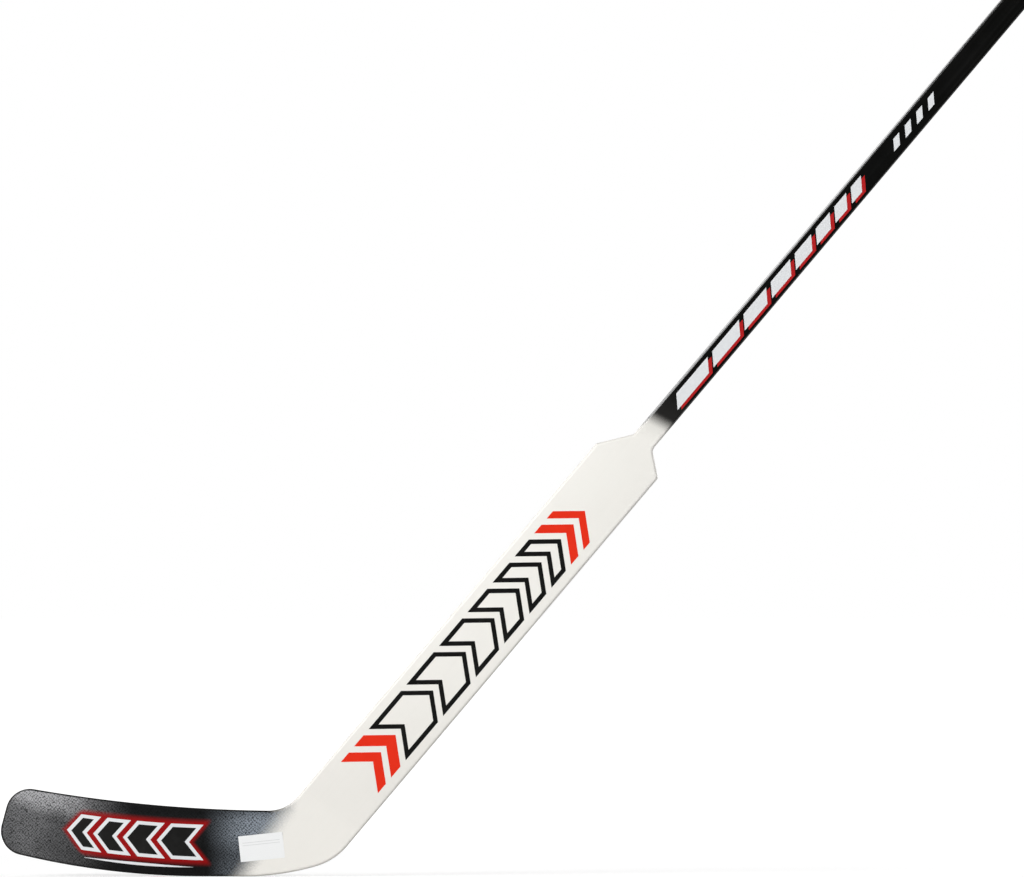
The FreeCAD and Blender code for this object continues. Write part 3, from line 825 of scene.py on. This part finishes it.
def label_sheet(sizes):
    """Shares and points of the label's grid: a tilted rectangle laid on the front of the blade.

    Its free corner lifts with the square of the way past a slanting line across the paper.
    """
    u, v = np.meshgrid(*[np.linspace(0.0, 1.0, steps) for steps in LABEL_STEPS], indexing="ij")
    along, above = (u - 0.5) * sizes.label_length, (v - 0.5) * sizes.label_height
    cosine, sine = math.cos(sizes.label_tilt), math.sin(sizes.label_tilt)
    x = sizes.label_from_middle + along * cosine - above * sine
    z = sizes.label_above_sole + along * sine + above * cosine
    curl = sizes.label_curl * np.clip((u + v - CURL_START) / (2.0 - CURL_START), 0.0, None) ** 2
    points = np.stack((x, blade_depth(x, "front") + SUNK - curl, z), -1)
    return np.stack((u, v), -1), points


def coated(part):
    """Names of a part's nodes that carry paint: all but its foam."""
    return [name for name in frame["nodes"] if name.startswith(part) and "foam" not in name]


def repaint(names, material):
    """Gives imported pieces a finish."""
    for name in names:
        for slot in frame["nodes"][name].material_slots:
            slot.material = material


class PaintShaft(bpy.types.Operator):
    """Paint the shaft's core and plies black, fading to white at the neck"""

    bl_idname = "stick.paint_shaft"
    bl_label = "Paint shaft"

    def execute(self, context):
        sizes, colours = context.scene.stick_sizes, context.scene.stick_colours
        repaint(("shaft_core",), shaft_paint("shaft_core_paint", colours.core, CORE_RINGS, sizes, colours))
        plies = ("shaft_front_lamination", "shaft_back_lamination")
        repaint(plies, shaft_paint("shaft_ply_paint", colours.ply, PLY_RINGS, sizes, colours))
        glass = ("shaft_front_glass_ply", "shaft_back_glass_ply")
        repaint(glass, shaft_paint("shaft_glass_paint", colours.resin, GLASS_LAYERS, sizes, colours))
        return {"FINISHED"}


class PaintPaddle(bpy.types.Operator):
    """Paint the paddle's skins, edges and shoulders gloss white"""

    bl_idname = "stick.paint_paddle"
    bl_label = "Paint paddle"

    def execute(self, context):
        repaint(coated("paddle_"), paddle_paint(context.scene.stick_sizes, context.scene.stick_colours))
        return {"FINISHED"}


class PaintBlade(bpy.types.Operator):
    """Paint the blade and heel: black over woven glass, fading to white"""

    bl_idname = "stick.paint_blade"
    bl_label = "Paint blade"

    def execute(self, context):
        paint = blade_paint(context.scene.stick_sizes, context.scene.stick_colours)
        repaint([*coated("blade_"), "heel_block"], paint)
        return {"FINISHED"}


class ColourFoam(bpy.types.Operator):
    """Give the foam cores inside the paddle and blade their cells"""

    bl_idname = "stick.colour_foam"
    bl_label = "Colour foam"

    def execute(self, context):
        repaint([name for name in frame["nodes"] if "foam" in name], foam_finish(context.scene.stick_colours))
        return {"FINISHED"}


class PrintPaddle(bpy.types.Operator):
    """Add outlined and red chevrons to both faces of the paddle"""

    bl_idname = "stick.print_paddle"
    bl_label = "Print paddle"

    def execute(self, context):
        sizes, colours = context.scene.stick_sizes, context.scene.stick_colours
        black = print_ink("paddle_black_ink", colours.ink_black, colours.worn)
        red = print_ink("paddle_red_ink", colours.red, colours.glow)
        shape = (sizes.mark_half_width, sizes.mark_point)
        spread = (sizes.mark_shrink, sizes.mark_gap)
        row = row_of(sizes.mark_count, sizes.mark_start, sizes.mark_height, *spread)
        top = sum(row[-1]) + sizes.mark_gap
        solid = row_of(sizes.red_count, top, sizes.red_high_height, *spread)
        for start, span in row_of(sizes.red_count, sizes.mark_gap, sizes.red_low_height, *spread):
            solid.append((sizes.mark_start - start - span, span))
        rims = [outline(chevron_corners(*mark, *shape), sizes.outline_width) for mark in row]
        fills = [chevron_fill(*mark, *shape) for mark in solid]
        for side in SIDES:
            lines = [on_stick(rim, side) for rim in rims]
            film(f"paddle_{side}_outlines", lines, side, UPPER_FILM, black, closed=True)
            chevrons = [on_stick(fill, side) for fill in fills]
            film(f"paddle_{side}_red_chevrons", chevrons, side, UPPER_FILM, red)
        return {"FINISHED"}


class PrintShaft(bpy.types.Operator):
    """Add slanted bars with a red shadow, and short ticks, to both faces of the shaft"""

    bl_idname = "stick.print_shaft"
    bl_label = "Print shaft"

    def execute(self, context):
        sizes, colours = context.scene.stick_sizes, context.scene.stick_colours
        white = print_ink("shaft_white_ink", colours.ink_white, colours.shade)
        red = print_ink("shaft_red_ink", colours.deep_red, colours.glow)
        row = row_of(sizes.bar_count, sizes.bar_start, sizes.bar_length, sizes.mark_shrink, sizes.bar_gap)
        ticks = row_of(sizes.tick_count, sizes.tick_start, sizes.tick_length, 1.0, sizes.tick_length)
        bars = [slanted_bar(*mark, sizes.bar_half_width) for mark in row]
        bars += [slanted_bar(*mark, sizes.tick_half_width) for mark in ticks]
        shadows = [slanted_bar(*mark, sizes.bar_half_width, sizes.bar_shadow) for mark in row]
        for side in SIDES:
            film(f"shaft_{side}_red_shadows", [on_stick(bar, side) for bar in shadows], side, LOWER_FILM, red)
            film(f"shaft_{side}_white_bars", [on_stick(bar, side) for bar in bars], side, UPPER_FILM, white)
        return {"FINISHED"}


class PrintBlade(bpy.types.Operator):
    """Add white-lined chevrons and a thin tapered line to both faces of the blade"""

    bl_idname = "stick.print_blade"
    bl_label = "Print blade"

    def execute(self, context):
        sizes, colours = context.scene.stick_sizes, context.scene.stick_colours
        white = print_ink("blade_white_ink", colours.ink_white, colours.shade)
        black = print_ink("blade_black_ink", colours.ink_black, colours.worn)
        shape = (sizes.dart_half_width, sizes.dart_point)
        row = blade_row(sizes)
        line = tapered_line(sizes.line_start, sizes.line_length, sizes.line_half_width, -sizes.line_depth)
        fills = [chevron_fill(*mark, *shape) for mark in row]
        rims = [outline(chevron_corners(*mark, *shape), sizes.dart_outline) for mark in row]
        for side in SIDES:
            chevrons = [on_blade(fill, side) for fill in fills]
            film(f"blade_{side}_black_chevrons", chevrons, side, LOWER_FILM, black)
            lines = [on_blade(rim, side) for rim in rims]
            film(f"blade_{side}_white_outlines", lines, side, UPPER_FILM, white, closed=True)
            film(f"blade_{side}_white_line", [on_blade(line, side)], side, UPPER_FILM, white)
        return {"FINISHED"}


class StickLabel(bpy.types.Operator):
    """Stick the blank paper label on the front of the blade"""

    bl_idname = "stick.label"
    bl_label = "Add label"

    def execute(self, context):
        shares, sheet = label_sheet(context.scene.stick_sizes)
        piece = film("shop_label", [sheet], "front", PAPER, label_paper(context.scene.stick_colours))
        layer = piece.data.uv_layers.new(name="label")
        corner = np.empty(len(piece.data.loops), int)
        piece.data.loops.foreach_get("vertex_index", corner)
        layer.data.foreach_set("uv", shares.reshape(-1, 2)[corner].ravel())
        return {"FINISHED"}


class BuildStage(bpy.types.Operator):
    """Set up the white floor, the studio light and the camera at the photo's angle"""

    bl_idname = "stick.stage"
    bl_label = "Build stage"

    def execute(self, context):
        context.scene.view_settings.view_transform = "Standard"
        build_world(context.scene)
        build_floor(context.scene)
        for lamp in LAMPS:
            build_lamp(context.scene, *lamp)
        build_lamp(context.scene, *EDGE_LAMP).visible_diffuse = False
        build_camera(context.scene)
        return {"FINISHED"}


def build_world(scene):
    """A pale room: white where it is seen, softer as light, dim before, behind, above and to the right."""
    world = bpy.data.worlds.new("pale_room")
    world.use_nodes = True
    scene.world = world
    n = Nodes(world.node_tree)
    direction = n.node("ShaderNodeTexCoord").outputs["Generated"]
    x, _, z = n.split(direction)
    light = n.math("MULTIPLY_ADD", n.mirror_rays(), 1.0 - AMBIENT, AMBIENT)
    overhead = n.ramp(z, 0.3, 0.95, 1.0, 0.55)
    right = n.ramp(x, -0.1, 0.7, 1.0, 0.75)
    shaped = n.product(light, n.beside(direction), overhead, right)
    back = world.node_tree.nodes["Background"].inputs
    n.feed(back["Strength"], n.math("MAXIMUM", n.camera_rays(), shaped))
    back["Color"].default_value = (1.0, 1.0, 1.0, 1.0)


def build_floor(scene):
    """White floor that keeps the stick's shadow near it and is plain white further off.

    Mirror rays see it dim before and behind the stick, as if black cards lay there.
    """
    corners = FLOOR_HALF * np.array(((-1, -1, 0), (1, -1, 0), (1, 1, 0), (-1, 1, 0)), float)
    mesh = bpy.data.meshes.new("floor")
    mesh.from_pydata(corners.tolist(), [], [(0, 1, 2, 3)])
    floor = bpy.data.objects.new("floor", mesh)
    scene.collection.objects.link(floor)
    f = Finish("floor_white")
    grain = f.noise(f.place, scale=14.0)
    lift = f.ramp(f.distance(f.place, STAGE_MIDDLE), *FLOOR_FADE, FLOOR_LIFT, 1.0)
    away = f.ramp(f.math("ABSOLUTE", f.split(f.place)[1]), *FLOOR_DIM, to_high=0.96)
    dim = f.product(f.mirror_rays(), away)
    seen = f.math("MAXIMUM", f.camera_rays(), f.math("SUBTRACT", f.mirror_rays(), dim))
    pale = f.mix(grain, *[linear(grey, grey, grey) for grey in FLOOR_GREYS])
    f.feed(f.shader.inputs["Base Color"], f.mix(dim, pale, (0.0, 0.0, 0.0)))
    f.feed(f.shader.inputs["Roughness"], f.ramp(grain, 0.0, 1.0, 0.8, 0.9))
    f.feed(f.shader.inputs["Emission Strength"], f.product(seen, lift))
    f.shader.inputs["Emission Color"].default_value = (1.0, 1.0, 1.0, 1.0)
    f.shader.inputs["Specular IOR Level"].default_value = 0.0
    mesh.materials.append(f.material)


def build_lamp(scene, name, turn, lift, distance, width, height, share):
    """A soft box that looks at the stick; its power gives the named share on a white surface facing it."""
    turn, lift = np.radians((turn, lift))
    out = Vector((math.sin(turn) * math.cos(lift), -math.cos(turn) * math.cos(lift), math.sin(lift)))
    light = bpy.data.lights.new(name, "AREA")
    light.shape = "RECTANGLE"
    light.size, light.size_y = width, height
    light.energy = share * (math.pi * distance) ** 2
    lamp = bpy.data.objects.new(name, light)
    lamp.location = STAGE_MIDDLE + out * distance
    lamp.rotation_euler = (-out).to_track_quat("-Z", "Y").to_euler()
    lamp.visible_camera = False
    scene.collection.objects.link(lamp)
    return lamp


def build_camera(scene):
    """A long lens square on to the front face, far enough back for the photo's frame."""
    data = bpy.data.cameras.new("camera")
    data.lens, data.sensor_width = LENS, SENSOR
    data.clip_end = CLIP_END
    camera = bpy.data.objects.new("camera", data)
    camera.location = (VIEW_X, -VIEW_WIDTH * LENS / SENSOR, VIEW_Z)
    camera.rotation_euler = (math.radians(90.0), 0.0, 0.0)
    scene.collection.objects.link(camera)
    scene.camera = camera


OPERATORS = (
    PaintShaft,
    PaintPaddle,
    PaintBlade,
    ColourFoam,
    PrintPaddle,
    PrintShaft,
    PrintBlade,
    StickLabel,
    BuildStage,
)


class StickPanel(bpy.types.Panel):
    """Steps, sizes and colours of the stick's looks"""

    bl_idname = "STICK_PT_looks"
    bl_label = "Goalie stick"
    bl_space_type = "VIEW_3D"
    bl_region_type = "UI"
    bl_category = "Stick"

    def draw(self, context):
        for operator in OPERATORS:
            self.layout.operator(operator.bl_idname)
        for group in (context.scene.stick_sizes, context.scene.stick_colours):
            box = self.layout.box()
            for name in group.__annotations__:
                box.prop(group, name)


CLASSES = (StickSizes, StickColours, *OPERATORS, StickPanel)


def register():
    """Adds the classes and the scene's two property groups."""
    for each in CLASSES:
        bpy.utils.register_class(each)
    bpy.types.Scene.stick_sizes = PointerProperty(type=StickSizes)
    bpy.types.Scene.stick_colours = PointerProperty(type=StickColours)


def unregister():
    """Takes them away again, last first."""
    del bpy.types.Scene.stick_colours
    del bpy.types.Scene.stick_sizes
    for each in reversed(CLASSES):
        bpy.utils.unregister_class(each)


def main():
    """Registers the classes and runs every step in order."""
    register()
    bpy.ops.stick.paint_shaft()
    bpy.ops.stick.paint_paddle()
    bpy.ops.stick.paint_blade()
    bpy.ops.stick.colour_foam()
    bpy.ops.stick.print_paddle()
    bpy.ops.stick.print_shaft()
    bpy.ops.stick.print_blade()
    bpy.ops.stick.label()
    bpy.ops.stick.stage()


if __name__ == "__main__":
    main()
